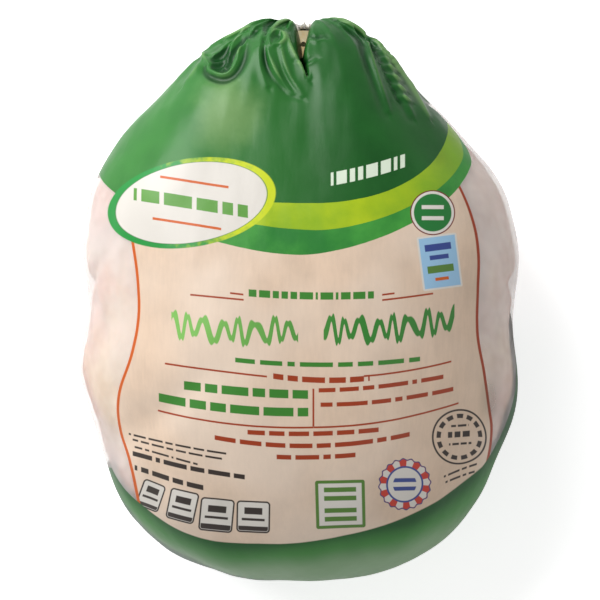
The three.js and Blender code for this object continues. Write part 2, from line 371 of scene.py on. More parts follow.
def pinch_cleft(p, before, margin=0.0):
    """The surface between the leg ends is drawn down to the gather, which leaves a slot between two lips.

    Its floor runs from the surface at the tip down to the gather, and its width grows from nothing.
    """
    y, z = before[..., 1] + margin, before[..., 2]
    middle = CLEFT_TIP_X + (CLEFT_MIDDLE_X - CLEFT_TIP_X) * ease(CLEFT_TIP, 110, y)
    middle += (CLEFT_END_X - CLEFT_MIDDLE_X) * ease(112, HALF, y)
    half = 0.4 + margin + CLEFT_HALF_WIDTH * ease(CLEFT_TIP, HALF + 3, y)
    pull = np.exp(-(np.abs((before[..., 0] - middle) / half) ** 2.4))
    pull *= ease(CLEFT_TIP - 3, CLEFT_TIP + 4, y) * ease(GATHER[2] - 2, GATHER[2] + 8, z)
    deep = ease(CLEFT_TIP - 2, CLEFT_DEEP, y)
    floor = np.stack([
        middle,
        np.minimum(p[..., 1], CLEFT_TIP - margin + 0.3 * (y - CLEFT_TIP)),
        z + (GATHER[2] + 2 - margin - z) * deep,
    ], axis=-1)
    return p + pull[..., None] * (floor - p)


def film_grid(rows, columns, pleat_count, pleat_height):
    """The film as a grid of points, the points before any fold, which the print follows, and the folds' lift.

    A rounded limit holds the leg tips inside the length: half of y plus the limit, less half the
    hypotenuse of the softness and y less the limit.
    """
    even = np.linspace(0, 1, 801)
    density = 1 + ROW_CROWDING * ease(CROWDING_START, CROWDING_STOP, even)
    filled = np.concatenate([[0], np.cumsum((density[1:] + density[:-1]) / 2)])
    along = np.interp(np.linspace(0, filled[-1], rows + 1), filled, even)
    u = np.arange(columns) / columns
    under = (u - TOP_COLUMNS) / (1 - TOP_COLUMNS)
    turn = np.where(u < TOP_COLUMNS, math.pi * u / TOP_COLUMNS, math.pi * (1 + under))
    turn, along = np.meshgrid(turn, along)
    _, normals, soft = soft_body(turn, along)
    lift = pleat_lift(soft, pleat_count, pleat_height) + broad_waves(soft)
    lift += (0.05 + 0.1 * ease(70, 100, soft[..., 1])) * ripples(soft * np.array([1, 0.5, 1]), 9, 12, seed=7)
    folded = soft + normals * lift[..., None]
    folds = fold_lift(folded)
    folded = folded + grid_normals(folded) * folds[..., None]
    beyond = folded[..., 1] - LEG_TIP_LIMIT
    folded[..., 1] = np.maximum(LEG_TIP_LIMIT + (beyond - np.hypot(beyond, LEG_TIP_SOFTNESS)) / 2, -HALF)
    folded[..., 2] = np.maximum(folded[..., 2], 0)
    sunk = draw_into_recess(folded)
    return pinch_cleft(sunk, folded), soft, folds + 0.6 * (lift - np.mean(lift))


# Meshes and materials


def closed_grid_mesh(name, points, flat=None, folds=None):
    """A smooth mesh from a grid whose columns close on themselves and whose end rows are single points.

    flat holds each point's place on the print and becomes the UV map "print". folds holds the lift of
    the folds in millimetres and becomes the attribute "fold".
    """
    rows, columns = points.shape[0] - 1, points.shape[1]
    vertices = np.vstack([points[0, :1], points[1:-1].reshape(-1, 3), points[-1, :1]]) * MM
    ring = np.arange(columns)
    after = (ring + 1) % columns
    start = 1 + columns * np.arange(rows - 2)[:, None]
    quads = np.stack([start + ring, start + columns + ring, start + columns + after, start + after], axis=-1)
    last = len(vertices) - 1
    first_ring = np.stack([np.zeros_like(ring), 1 + ring, 1 + after], axis=-1)
    last_ring = np.stack([np.full_like(ring, last), last - columns + after, last - columns + ring], axis=-1)
    faces = [*first_ring.tolist(), *quads.reshape(-1, 4).tolist(), *last_ring.tolist()]
    mesh = bpy.data.meshes.new(name)
    mesh.from_pydata(vertices.tolist(), [], faces)
    mesh.shade_smooth()
    if flat is not None:
        place = np.vstack([flat[0, :1], flat[1:-1].reshape(-1, 3), flat[-1, :1]])[:, :2] * MM
        corners = np.zeros(len(mesh.loops), np.int32)
        mesh.loops.foreach_get("vertex_index", corners)
        layer = mesh.uv_layers.new(name="print")
        layer.data.foreach_set("uv", place[corners].astype(np.float32).ravel())
    if folds is not None:
        values = np.concatenate([folds[0, :1], folds[1:-1].ravel(), folds[-1, :1]])
        mesh.attributes.new("fold", "FLOAT", "POINT").data.foreach_set("value", values.astype(np.float32))
    return mesh


def add_piece(mesh, material):
    """Links a mesh as a piece of the object that rides on its one body and takes its finish from a slot."""
    piece = bpy.data.objects.new(mesh.name, mesh)
    bpy.context.scene.collection.objects.link(piece)
    piece.data.materials.append(material)
    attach(piece, "root")
    return piece


class Wire:
    """A value that flows through a node tree. Arithmetic on it places Math nodes, and | takes the larger."""

    def __init__(self, tree, socket):
        self.tree, self.socket = tree, socket

    def math(self, operation, *others):
        node = self.tree.nodes.new("ShaderNodeMath")
        node.operation = operation
        for entry, value in zip(node.inputs, (self, *others)):
            connect(self.tree, value, entry)
        return Wire(self.tree, node.outputs[0])

    def __add__(self, other):
        return self.math("ADD", other)

    def __sub__(self, other):
        return self.math("SUBTRACT", other)

    def __mul__(self, other):
        return self.math("MULTIPLY", other)

    def __truediv__(self, other):
        return self.math("DIVIDE", other)

    def __pow__(self, other):
        return self.math("POWER", other)

    def __or__(self, other):
        return self.math("MAXIMUM", other)

    def flipped(self):
        return self.math("MULTIPLY_ADD", -1, 1)

    def size(self):
        return self.math("ABSOLUTE")

    def over(self, edge, softness=0.3):
        """1 where the value is above the edge and 0 below it, with a soft step."""
        if isinstance(edge, Wire):
            return (self - edge).over(0, softness)
        return self.ranged(edge - softness / 2, edge + softness / 2)

    def under(self, edge, softness=0.3):
        """1 where the value is below the edge and 0 above it, with a soft step."""
        if isinstance(edge, Wire):
            return (self - edge).under(0, softness)
        return self.ranged(edge - softness / 2, edge + softness / 2, 1, 0)

    def ranged(self, low, high, to_low=0.0, to_high=1.0):
        """The value moved smoothly from one range to another."""
        node = self.tree.nodes.new("ShaderNodeMapRange")
        node.interpolation_type, node.clamp = "SMOOTHSTEP", False
        for entry, value in zip(node.inputs, (self, low, high, to_low, to_high)):
            connect(self.tree, value, entry)
        return Wire(self.tree, node.outputs["Result"])


def connect(tree, value, entry):
    """Feeds a socket with a wire, or sets its constant."""
    if isinstance(value, Wire):
        tree.links.new(value.socket, entry)
    elif isinstance(value, bpy.types.NodeSocket):
        tree.links.new(value, entry)
    else:
        entry.default_value = value


def place_node(tree, kind, inputs=None, **settings):
    """Adds a node with its settings and inputs."""
    node = tree.nodes.new(kind)
    for name, value in settings.items():
        setattr(node, name, value)
    for name, value in (inputs or {}).items():
        connect(tree, value, node.inputs[name])
    return node


def noise(tree, vector, scale, detail=3.0, roughness=0.5, stretch=(1, 1, 1)):
    """Blender's noise on stretched coordinates, as a value about 0.5."""
    mapped = place_node(tree, "ShaderNodeMapping", {"Vector": vector, "Scale": stretch})
    made = place_node(tree, "ShaderNodeTexNoise", {
        "Vector": mapped.outputs[0], "Scale": scale, "Detail": detail, "Roughness": roughness})
    return Wire(tree, made.outputs["Fac"])


def blend(tree, factor, under, over):
    """A colour mixed from two by a factor."""
    node = place_node(tree, "ShaderNodeMix", data_type="RGBA")
    connect(tree, factor, node.inputs[0])
    for entry, value in ((node.inputs[6], under), (node.inputs[7], over)):
        connect(tree, value if isinstance(value, bpy.types.NodeSocket) else (*value, 1), entry)
    return node.outputs[2]


def start_material(name):
    """A material, its empty node tree, and the object's coordinates in it."""
    material = bpy.data.materials.new(name)
    material.use_nodes = True
    tree = material.node_tree
    tree.nodes.clear()
    return material, tree, place_node(tree, "ShaderNodeTexCoord").outputs["Object"]


def finish_material(tree, inputs):
    """Adds the shader, with its inputs, and the output that it feeds."""
    shader = place_node(tree, "ShaderNodeBsdfPrincipled", inputs)
    output = place_node(tree, "ShaderNodeOutputMaterial")
    tree.links.new(shader.outputs[0], output.inputs["Surface"])


def add_bump(tree, height, strength, distance):
    """The normal that a height in the tree gives, at most so many metres high."""
    bump = place_node(tree, "ShaderNodeBump", {"Strength": strength, "Distance": distance, "Height": height})
    return bump.outputs[0]


def srgb(*channels):
    """A colour from eight-bit display values, made linear."""
    c = np.array(channels) / 255
    return tuple(np.where(c <= 0.04045, c / 12.92, ((c + 0.055) / 1.055) ** 2.4).tolist())


def new_group(name, inputs, outputs):
    """An empty shader node group, its input wires by name, and its output node.

    Each input comes with its default: None is a vector, and every other one a value.
    """
    group = bpy.data.node_groups.new(name, "ShaderNodeTree")
    for label, default in inputs.items():
        kind = "NodeSocketVector" if default is None else "NodeSocketFloat"
        socket = group.interface.new_socket(label, in_out="INPUT", socket_type=kind)
        if default is not None:
            socket.default_value = default
    for label in outputs:
        group.interface.new_socket(label, in_out="OUTPUT", socket_type="NodeSocketFloat")
    entry = group.nodes.new("NodeGroupInput")
    wires = {label: Wire(group, entry.outputs[label]) for label in inputs}
    return group, wires, group.nodes.new("NodeGroupOutput")


def use_group(tree, group, **inputs):
    """Places a group in a tree and returns its outputs. Underscores in the names stand for spaces."""
    node = place_node(tree, "ShaderNodeGroup", node_tree=group)
    for name, value in inputs.items():
        connect(tree, value, node.inputs[name.replace("_", " ")])
    return node.outputs


PLACE = {"X": 0.0, "Y": 0.0, "Middle X": 0.0, "Middle Y": 0.0}
STROKE = {"Half length": 10.0, "Half height": 1.0, "Slope": 0.0, "Bow": 0.0}


def stroke_frame(w):
    """Distances along and off a line that may slope and bow: off is y less slope x and bow x squared."""
    dx = w["X"] - w["Middle X"]
    dy = w["Y"] - w["Middle Y"] - dx * w["Slope"] - dx * dx * w["Bow"]
    return dx, dy


def rule_group():
    """A printed rule: inside where it is within half a length along and half a height off its line."""
    group, w, out = new_group("Printed rule", PLACE | STROKE, ["Mask"])
    dx, dy = stroke_frame(w)
    mask = dx.size().under(w["Half length"]) * dy.size().under(w["Half height"])
    connect(group, mask, out.inputs["Mask"])
    return group


def bar_group():
    """A row of plain bars: a rule cut by gaps, whose places are jittered by white noise."""
    group, w, out = new_group("Printed bars", PLACE | STROKE | {"Pitch": 8.0, "Gap": 1.2}, ["Mask"])
    dx, dy = stroke_frame(w)
    cell = (dx / w["Pitch"]).math("ROUND")
    chance = Wire(group, place_node(group, "ShaderNodeTexWhiteNoise", {
        "W": cell + w["Middle Y"]}, noise_dimensions="1D").outputs["Value"])
    cut = (cell + (chance - 0.5) * 0.7) * w["Pitch"]
    gap = (dx - cut).size().over(w["Gap"] / 2)
    mask = dx.size().under(w["Half length"]) * dy.size().under(w["Half height"]) * gap
    connect(group, mask, out.inputs["Mask"])
    return group


def brush_group():
    """A wavy brush stroke: inside where the height off the line is near a sine wave, of even thickness."""
    group, w, out = new_group("Brush stroke", PLACE | STROKE | {"Wave": 9.0, "Thickness": 1.6}, ["Mask"])
    dx, dy = stroke_frame(w)
    phase = (dx + (dx * 0.31).math("SINE") * 1.1) * (2 * math.pi) / w["Wave"]
    tall = w["Half height"] * ((dx * 0.47).math("SINE") * 0.22 + 0.78)
    off = (dy - phase.math("SINE") * tall).size()
    slope = phase.math("COSINE") * tall * (2 * math.pi) / w["Wave"]
    thick = w["Thickness"] * (slope * slope + 1).math("SQRT")
    mask = (off - thick).under(0, 0.8) * dx.size().under(w["Half length"])
    connect(group, mask, out.inputs["Mask"])
    return group


def card_group():
    """The distance to a rounded rectangle's edge, negative inside, in the rectangle's own turned frame."""
    inputs = PLACE | {"Half width": 8.0, "Half height": 8.0, "Slope": 0.0, "Corner": 1.0}
    group, w, out = new_group("Printed card", inputs, ["Distance", "Across", "Up"])
    dx, dy = w["X"] - w["Middle X"], w["Y"] - w["Middle Y"]
    across, up = dx + dy * w["Slope"], dy - dx * w["Slope"]
    a = across.size() - w["Half width"] + w["Corner"]
    b = up.size() - w["Half height"] + w["Corner"]
    outside = (a.math("MAXIMUM", 0) ** 2 + b.math("MAXIMUM", 0) ** 2).math("SQRT")
    distance = outside + a.math("MAXIMUM", b).math("MINIMUM", 0) - w["Corner"]
    for label, value in (("Distance", distance), ("Across", across), ("Up", up)):
        connect(group, value, out.inputs[label])
    return group


def bowl_group():
    """How far out a place is in a bowl-shaped field: 1 on its edge, a superellipse with its own radii."""
    inputs = PLACE | {"Left": 1.0, "Right": 1.0, "Depth": 1.0, "Height": 1.0, "Power": 2.0}
    group, w, out = new_group("Bowl field", inputs, ["Out"])
    dx, dy = w["X"] - w["Middle X"], w["Y"] - w["Middle Y"]
    right, up = dx.over(0, 0.001), dy.over(0, 0.001)
    across = dx.size() / (w["Left"] + (w["Right"] - w["Left"]) * right)
    down = dy.size() / (w["Depth"] + (w["Height"] - w["Depth"]) * up)
    reach = (across ** w["Power"] + down ** w["Power"]) ** (w["Power"].math("DIVIDE", 1).math("POWER", -1))
    connect(group, reach, out.inputs["Out"])
    return group


def crease_group():
    """The height of fine wrinkles in thin film: sharp ridges of stretched noise in two directions."""
    group, w, out = new_group("Film creases", {"Vector": None, "Scale": 40.0}, ["Height"])
    total = None
    for stretch, share in (((1, 0.28, 1), 0.6), ((0.4, 1, 1), 0.4)):
        ridge = (noise(group, w["Vector"], w["Scale"], 4, 0.55, stretch) - 0.5).size()
        ridge = ridge.ranged(0, 0.2, 1, 0) ** 2 * share
        total = ridge if total is None else total + ridge
    connect(group, total, out.inputs["Height"])
    return group


# Print


class Row(NamedTuple):
    """A rule, or a row of bars: middle, half length, half height, slope, bow, and the bars' pitch and gap."""

    x: float
    y: float
    half: float
    tall: float
    slope: float
    bow: float
    pitch: float = 9.0
    gap: float = 1.3


GREEN_BARS = (
    Row(4.9, 1.8, 27.1, 1.58, -0.016, 0.0012, 4.6, 1.1),
    Row(12.2, -28.0, 41.2, 1.01, 0.005, 0.0014, 11, 2.2),
    Row(-23.4, -39.7, 26.9, 1.87, -0.074, 0.001, 10, 1.8),
    Row(-28.9, -47.2, 32.5, 1.87, -0.096, 0.0017, 12, 1.8),
)
RUST_BARS = (
    Row(9.3, -34.7, 20.9, 1.22, -0.021, 0.0031, 9, 1.8),
    Row(35.2, -37.4, 27.1, 0.936, 0.107, 0.0016, 10, 1.8),
    Row(37.8, -43.6, 28.9, 0.936, 0.115, 0.0019, 11, 1.8),
    Row(5.8, -57.9, 28.9, 1.01, 0.019, 0.0015, 9, 1.8),
    Row(5.3, -63.2, 42.3, 1.01, 0.016, 0.0024, 12, 1.8),
    Row(6.5, -68.2, 17.6, 1.01, 0.025, 0.0022, 8, 1.8),
)
OVAL_RULES = (Row(-46, 51.4, 15, 0.55, -0.16, 0), Row(-49.2, 33.2, 15, 0.55, -0.16, 0))
OVAL_BARS = (Row(-47.6, 42.3, 25, 2.7, -0.16, 0, 9.6, 2),)
RING_BARS = (
    Row(69.7, -58.6, 5.2, 1.3, 0.05, 0, 4, 1),
    Row(70, -62.8, 5, 0.5, 0.05, 0, 4, 0.8),
    Row(69.5, -54.8, 4.2, 0.5, 0.05, 0, 4, 0.8),
)
RUST_RULES = (
    Row(-36.0, 1.2, 11.6, 0.4, -0.096, 0),
    Row(-27.4, 2.7, 2.9, 0.4, -0.115, 0),
    Row(46.7, 1.3, 11.1, 0.4, 0.13, 0.0009),
    Row(38.3, 2.6, 2.7, 0.4, 0.125, 0),
    Row(-36.5, -30.6, 22.2, 0.4, -0.125, 0.0005),
    Row(46.7, -30.7, 19.1, 0.4, 0.163, 0.0024),
    Row(-28.0, -53.9, 33.8, 0.4, -0.105, 0.002),
    Row(37.4, -52.5, 31.6, 0.4, 0.162, 0.0025),
)
BLACK_BARS = (
    Row(-53.6, -63.1, 21.6, 0.44, -0.186, 0.0009, 7, 1.2),
    Row(-53.2, -65.6, 20.2, 0.44, -0.198, 0.0012, 6, 1.2),
    Row(-58.5, -67.9, 14.0, 0.44, -0.254, 0, 6, 1.2),
    Row(-48.7, -73.0, 24.7, 1.04, -0.198, 0.0015, 9, 1.6),
    Row(-57.2, -78.1, 15.4, 1.12, -0.275, 0.0017, 7, 1.6),
    Row(70.2, -74.6, 7.3, 0.48, 0.364, 0, 5, 1),
    Row(70.2, -77.6, 6.5, 0.48, 0.345, 0, 4, 1),
)
PALE_BARS = (
    Row(29.6, 56.0, 16.2, 2.9, 0.26, 0.0027, 4.7, 1.3),
    Row(14.5, -111.6, 10.0, 0.4, 0.022, 0.0022, 5, 1),
    Row(14.5, -113.4, 9.0, 0.4, 0.022, 0.0022, 4, 1),
    Row(14.5, -115.2, 10.0, 0.4, 0.022, 0.0022, 5, 1),
)

# The rules beside the beige field: Y and X of each place.
LEFT_RULE = ((22.5, -72.7), (4, -70.5), (-6, -70.3), (-22, -72.9), (-44, -79.5), (-56, -79.3), (-70, -74.9),
             (-90, -70.9))
RIGHT_RULE = ((52, 68.5), (37.4, 74.6), (21, 77.8), (4.4, 78), (-10, 77.5), (-17, 77.8), (-32, 81),
              (-50, 83.9), (-56, 84.4), (-69, 82.4))

# Boxes: middle, half width, half height and slope.
BOXES = ((-65.6, -86, 5.4, 6.6, -0.36), (-51.5, -90, 6.4, 7, -0.22), (-36.5, -94, 7.3, 7.3, -0.1),
         (-20.4, -94.6, 7.2, 6.9, -0.02))

# Where the green ends of the print stop on the sides and back: degrees round from the top, and Y.
LEG_END_PRINT = ((-180, 74), (-135, 67), (-108, 59), (-92, 54.5), (-84, 60), (-72, 88), (84, 88), (92, 87),
                 (104, 85), (140, 79), (180, 74))
NECK_END_PRINT = ((-180, -34), (-150, -46), (-120, -66), (-92, -74.5), (-86, -77), (-80, -94), (-66, -130),
                  (50, -130), (62, -112), (72, -78), (77.5, -66), (81, -58), (83, -42), (86, -24), (92, -9),
                  (110, -5), (140, -14), (180, -34))


class Bowl(NamedTuple):
    """A bowl-shaped field of the print: middle, reach to the left, right, down and up, and power."""

    x: float
    y: float
    left: float
    right: float
    depth: float
    above: float
    power: float


MID_FIELD = Bowl(0, 61, 90.8, 75.2, 41.4, 44.5, 1.65)
LIME_FIELD = Bowl(8, 64.1, 98.8, 63.6, 33.8, 60, 1.65)
DARK_FIELD = Bowl(6.2, 76.5, 140, 58.7, 34.5, 75, 2)
BEIGE_FIELD = Bowl(-22.2, -17.9, 74.3, 123.2, 88.7, 400, 2.24)
GREEN_ABOVE, GREEN_LEFT_OF = 87, -47.6
FRONT_ANGLE, AXIS_HEIGHT = 92, 50


def curve_value(tree, value, points, low=-180, high=180):
    """A value read from a smooth curve through points, whose ends lie between low and high."""
    share = (value - low) / (high - low)
    node = tree.nodes.new("ShaderNodeFloatCurve")
    spots = sorted(((a - low) / (high - low), (b - low) / (high - low)) for a, b in points)
    curve = node.mapping.curves[0]
    curve.points[0].location, curve.points[1].location = spots[0], spots[-1]
    for spot in spots[1:-1]:
        curve.points.new(*spot)
    node.mapping.update()
    connect(tree, share, node.inputs["Value"])
    return Wire(tree, node.outputs[0]) * (high - low) + low


class Press:
    """Lays inks one over another on the film. Each ink has a mask and a colour.

    It holds the place on the print and the height in millimetres, the angle round from the top in
    degrees, the front of the film, and the noises that mottle it.
    """

    def __init__(self, tree, place, settings):
        self.tree, self.place, self.settings = tree, place, settings
        height = place_node(tree, "ShaderNodeSeparateXYZ", {"Vector": place}).outputs["Z"]
        self.height = Wire(tree, height) / MM
        flat = place_node(tree, "ShaderNodeUVMap", uv_map="print").outputs["UV"]
        split = place_node(tree, "ShaderNodeSeparateXYZ", {"Vector": flat}).outputs
        self.x, self.y = Wire(tree, split["X"]) / MM, Wire(tree, split["Y"]) / MM
        self.round_back = self.x.math("ARCTAN2", self.height - AXIS_HEIGHT) * (180 / math.pi)
        self.front = self.round_back.size().under(FRONT_ANGLE, 1)
        self.groups = {"bowl": bowl_group(), "rule": rule_group(), "bars": bar_group(),
                       "brush": brush_group(), "card": card_group()}
        self.mottle = noise(tree, place, 55, 4, 0.6)
        self.blotch = noise(tree, place, 18, 2)
        self.grain = noise(tree, place, 700, 3, 0.6, (1, 0.16, 1))
        self.colour = None
        self.black, self.white = srgb(58, 50, 46), srgb(216, 211, 203)
        self.navy, self.leaf = srgb(58, 74, 140), srgb(88, 128, 58)

    def lay(self, mask, colour):
        self.colour = blend(self.tree, mask, self.colour, colour)

    def mark(self, kind, x, y, **inputs):
        """The outputs of one mark's group, placed with its middle at x and y."""
        made = use_group(self.tree, self.groups[kind], X=self.x, Y=self.y, Middle_X=x, Middle_Y=y, **inputs)
        return [Wire(self.tree, socket) for socket in made]

    def rows(self, rows, kind="bars"):
        """The masks of several rows joined into one."""
        total = None
        for row in rows:
            stroke = {"Half_length": row.half, "Half_height": row.tall, "Slope": row.slope, "Bow": row.bow}
            if kind == "bars":
                stroke |= {"Pitch": row.pitch, "Gap": row.gap}
            mask = self.mark(kind, row.x, row.y, **stroke)[0]
            total = total | mask if total else mask
        return total

    def brush(self, x, y, half, tall, slope, bow, wave, thickness):
        return self.mark("brush", x, y, Half_length=half, Half_height=tall, Slope=slope, Bow=bow, Wave=wave,
                         Thickness=thickness)[0]

    def card(self, x, y, half_width, half_height, slope, corner):
        return self.mark("card", x, y, Half_width=half_width, Half_height=half_height, Slope=slope,
                         Corner=corner)

    def field(self, bowl):
        """How far out each place is in a bowl-shaped field: 1 on its edge."""
        return self.mark("bowl", bowl.x, bowl.y, Left=bowl.left, Right=bowl.right, Depth=bowl.depth,
                         Height=bowl.above, Power=bowl.power)[0]

    def disc(self, x, y):
        """The distance from a middle, and the angle round it."""
        dx, dy = self.x - x, self.y - y
        return (dx * dx + dy * dy).math("SQRT"), dy.math("ARCTAN2", dx)


def card_bar(across, up, half, at, tall):
    """A bar in a card: within half a length across, and half a height about its place up."""
    return across.size().under(half) * (up - at).size().under(tall)


def print_oval(press):
    """A plain tilted oval with a two-tone rim, and a row of bars between two rules."""
    dx, dy = press.x + 47.6, press.y - 42.3
    tilt = math.radians(9)
    a = (dx * math.cos(tilt) + dy * math.sin(tilt)) / 37.4
    b = (dy * math.cos(tilt) - dx * math.sin(tilt)) / 19.3
    out = (a * a + b * b).math("SQRT")
    speckle = noise(press.tree, press.place, 260, 2)
    two_tone = (a + (speckle - 0.5) * 1.6).ranged(-0.3, 0.7)
    rim = blend(press.tree, two_tone, srgb(36, 142, 62), srgb(196, 208, 34))
    shape = out.under(1, 0.02) * press.front
    press.lay(shape, rim)
    press.lay((out - 0.9).size().under(0.006, 0.012) * shape, srgb(40, 110, 50))
    press.lay(out.under(0.895, 0.02) * shape, press.white)
    press.lay(press.rows(OVAL_RULES, "rule") * shape, press.settings.orange_ink)
    press.lay(press.rows(OVAL_BARS) * shape, srgb(92, 150, 62))
    return shape


def print_disc(press):
    """A plain green disc with a double rim and two pale bars, over the lowest stripe on the right."""
    x, y = 57.7, 38
    out, _ = press.disc(x, y)
    for radius, ink in ((9.8, srgb(112, 38, 36)), (9.3, press.white), (8.2, srgb(40, 118, 56))):
        press.lay(out.under(radius) * press.front, ink)
    bars = (press.x - x).size().under(4.8) * ((press.y - y).size() - 2.4).size().under(0.85)
    press.lay(bars, press.white)


def print_cards(press):
    """Two plain cards with bars, on the right and at the bottom."""
    distance, across, up = press.card(60.8, 16.6, 8.8, 11.9, 0.13, 0.8)
    press.lay(distance.under(0), press.white)
    press.lay((distance + 0.8).under(0), srgb(150, 190, 220))
    press.lay(card_bar(across, up, 5.8, 6.6, 1.5) + card_bar(across, up, 4.2, 2.2, 1), press.navy)
    press.lay(card_bar(across, up, 5.8, -3, 1.6), press.leaf)
    press.lay(card_bar(across, up, 3, -7.4, 0.7), press.settings.orange_ink)
    distance, across, up = press.card(17.6, -89, 10.8, 10.7, 0.03, 1)
    press.lay(distance.under(0), press.leaf)
    press.lay((distance + 1.4).under(0), press.white)
    bars = ((up.size() - 4.6).size() - 1.9).size().under(1.05) * across.size().under(7)
    press.lay(bars, press.leaf)


def print_rosette(press):
    """A rosette with a scalloped rim of two colours and two bars in its middle."""
    x, y = 45.7, -80.4
    out, angle = press.disc(x, y)
    edge = (angle * 20).math("SINE") * 0.35 + 11.4
    press.lay((out - edge).under(0), srgb(60, 66, 120))
    press.lay((out - edge + 0.5).under(0), srgb(196, 62, 48))
    press.lay((out - edge + 0.6).under(0) * (angle * 10 + 0.6).math("SINE").over(0, 0.25), press.white)
    press.lay(out.under(8.2), press.navy)
    press.lay(out.under(7.4), press.white)
    press.lay(out.under(5.2) * ((press.y - y).size() - 1.9).size().under(0.9), press.navy)


def print_ring(press):
    """A ring of dashes inside a thin circle, with three rows of bars in it."""
    out, angle = press.disc(69.7, -59.8)
    press.lay((out - 11.9).size().under(0.4), press.black)
    press.lay((out - 9.3).size().under(0.95) * (angle * 13).math("SINE").over(-0.35, 0.5), press.black)
    press.lay(press.rows(RING_BARS), press.black)


def print_boxes(press):
    """Four white boxes with dark outlines in a row at the lower left, with plain bars in them."""
    for x, y, half, tall, slope in BOXES:
        distance, across, up = press.card(x, y, half, tall, slope, 1.6)
        press.lay(distance.under(0.2), press.black)
        press.lay((distance + 0.5).under(0), press.white)
        bars = (up - 2.6).size().under(1.5) * across.size().under(0.55 * half)
        bars = bars + (up + 1.2).size().under(0.55) * across.size().under(0.7 * half)
        press.lay(bars + (distance + 0.7).under(0) * up.under(-4.2), press.black)


def print_beige(press):
    """The beige field: mottled grain with rows of bars, rules, two brush strokes, cards and boxes."""
    tree, settings, x, y = press.tree, press.settings, press.x, press.y
    fibres = (press.grain * 0.35 + press.mottle * 0.65).ranged(0.3, 0.7)
    kraft = blend(tree, fibres, settings.beige, srgb(208, 184, 162))
    press.colour = blend(tree, press.blotch.ranged(0.35, 0.7) * 0.5, kraft, srgb(232, 217, 202))
    stroke_ink = blend(tree, x.ranged(-60, 30), srgb(126, 186, 92), srgb(58, 128, 54))
    press.lay(press.rows(GREEN_BARS), settings.green_ink)
    press.lay(press.brush(-28.3, -13.4, 27.5, 4.8, -0.047, 0.0028, 7.4, 1.15), stroke_ink)
    press.lay(press.brush(38.7, -12.2, 28.5, 4.8, 0.076, 0.0022, 7.0, 1.15), stroke_ink)
    rules = press.rows(RUST_RULES, "rule") | (x - 5.8).size().under(0.4) * (y + 46.6).size().under(8.2)
    press.lay(rules | press.rows(RUST_BARS), settings.rust_ink)
    press.lay(press.rows(BLACK_BARS), press.black)
    for part in (print_cards, print_rosette, print_ring, print_boxes):
        part(press)
    return press.colour


def print_greens(press, lime_field, dark_field):
    """The green stripes and the dark field: washes, painted shade towards the right, a painted highlight on
    the left hump, and a dull flap.
    """
    tree, x, y, mottle, front = press.tree, press.x, press.y, press.mottle, press.front
    wash = (mottle * 0.6 + press.blotch * 0.4).ranged(0.32, 0.68)
    # Painted light and shade: the dark field is lighter on the left, towards the key light, and darker to the
    # right.
    dark = blend(tree, x.ranged(-75, 45), srgb(56, 128, 52), press.settings.dark_green)
    dark = blend(tree, wash * 0.5, dark, srgb(38, 104, 42))
    # Painted highlight: a pale patch on the left hump, where the key light's reflection lies.
    painted_glow = ((x + 32) * (x + 32) + (y - 82) * (y - 82) * 0.8).math("SQRT") + (mottle - 0.5) * 14
    dark = blend(tree, painted_glow.ranged(20, 4) * front * 0.5, dark, srgb(146, 178, 118))
    across, along = (x - 48) * 0.87 + (y - 97) * 0.5, (y - 97) * 0.87 - (x - 48) * 0.5
    flap = (across * across / 40 + along * along / 170).math("SQRT") + (mottle - 0.5)
    flap = flap.ranged(1.3, 0.6) * press.round_back.ranged(96, 74) * 0.5
    dark = blend(tree, flap, dark, srgb(92, 108, 90))
    lime = blend(tree, wash, srgb(136, 172, 32), srgb(176, 196, 30))
    # Darker towards the right: partly the print's own tone and partly painted shade, as the right side is
    # turned from the key light.
    lime = blend(tree, x.ranged(20, 80) * 0.75, lime, srgb(96, 146, 40))
    mid = blend(tree, wash, srgb(42, 120, 50), srgb(70, 154, 62))
    greens = blend(tree, lime_field * front, mid, lime)
    press.colour = blend(tree, dark_field * front + front.flipped(), greens, dark)
    press.lay(press.rows(PALE_BARS) * front, srgb(214, 226, 206))
    return press.colour


def band_colour_with_painted_light(press, bowl_out):
    """The band at the neck end: dark with painted shade beside the beige, paler outwards as a painted
    reflection, and deep green low on the left as painted shade.
    """
    tree = press.tree
    mottled_out = bowl_out + (press.blotch - 0.5) * 0.1
    # Painted shade: a darker strip just beside the beige, where the film turns down.
    low = blend(tree, mottled_out.ranged(1.0, 1.08), srgb(28, 84, 38), press.settings.band_green)
    # Painted reflection: paler and greyer outwards, as the film there mirrors the bright floor.
    low = blend(tree, mottled_out.ranged(1.06, 1.16) * 0.6, low, srgb(150, 174, 142))
    # Painted shade: deep green low on the left, darker with falling height towards the underside.
    under = (press.height + (press.mottle - 0.5) * 14).ranged(63, 54) * press.x.ranged(15, -35) * 0.85
    return blend(tree, under, low, srgb(10, 66, 36))


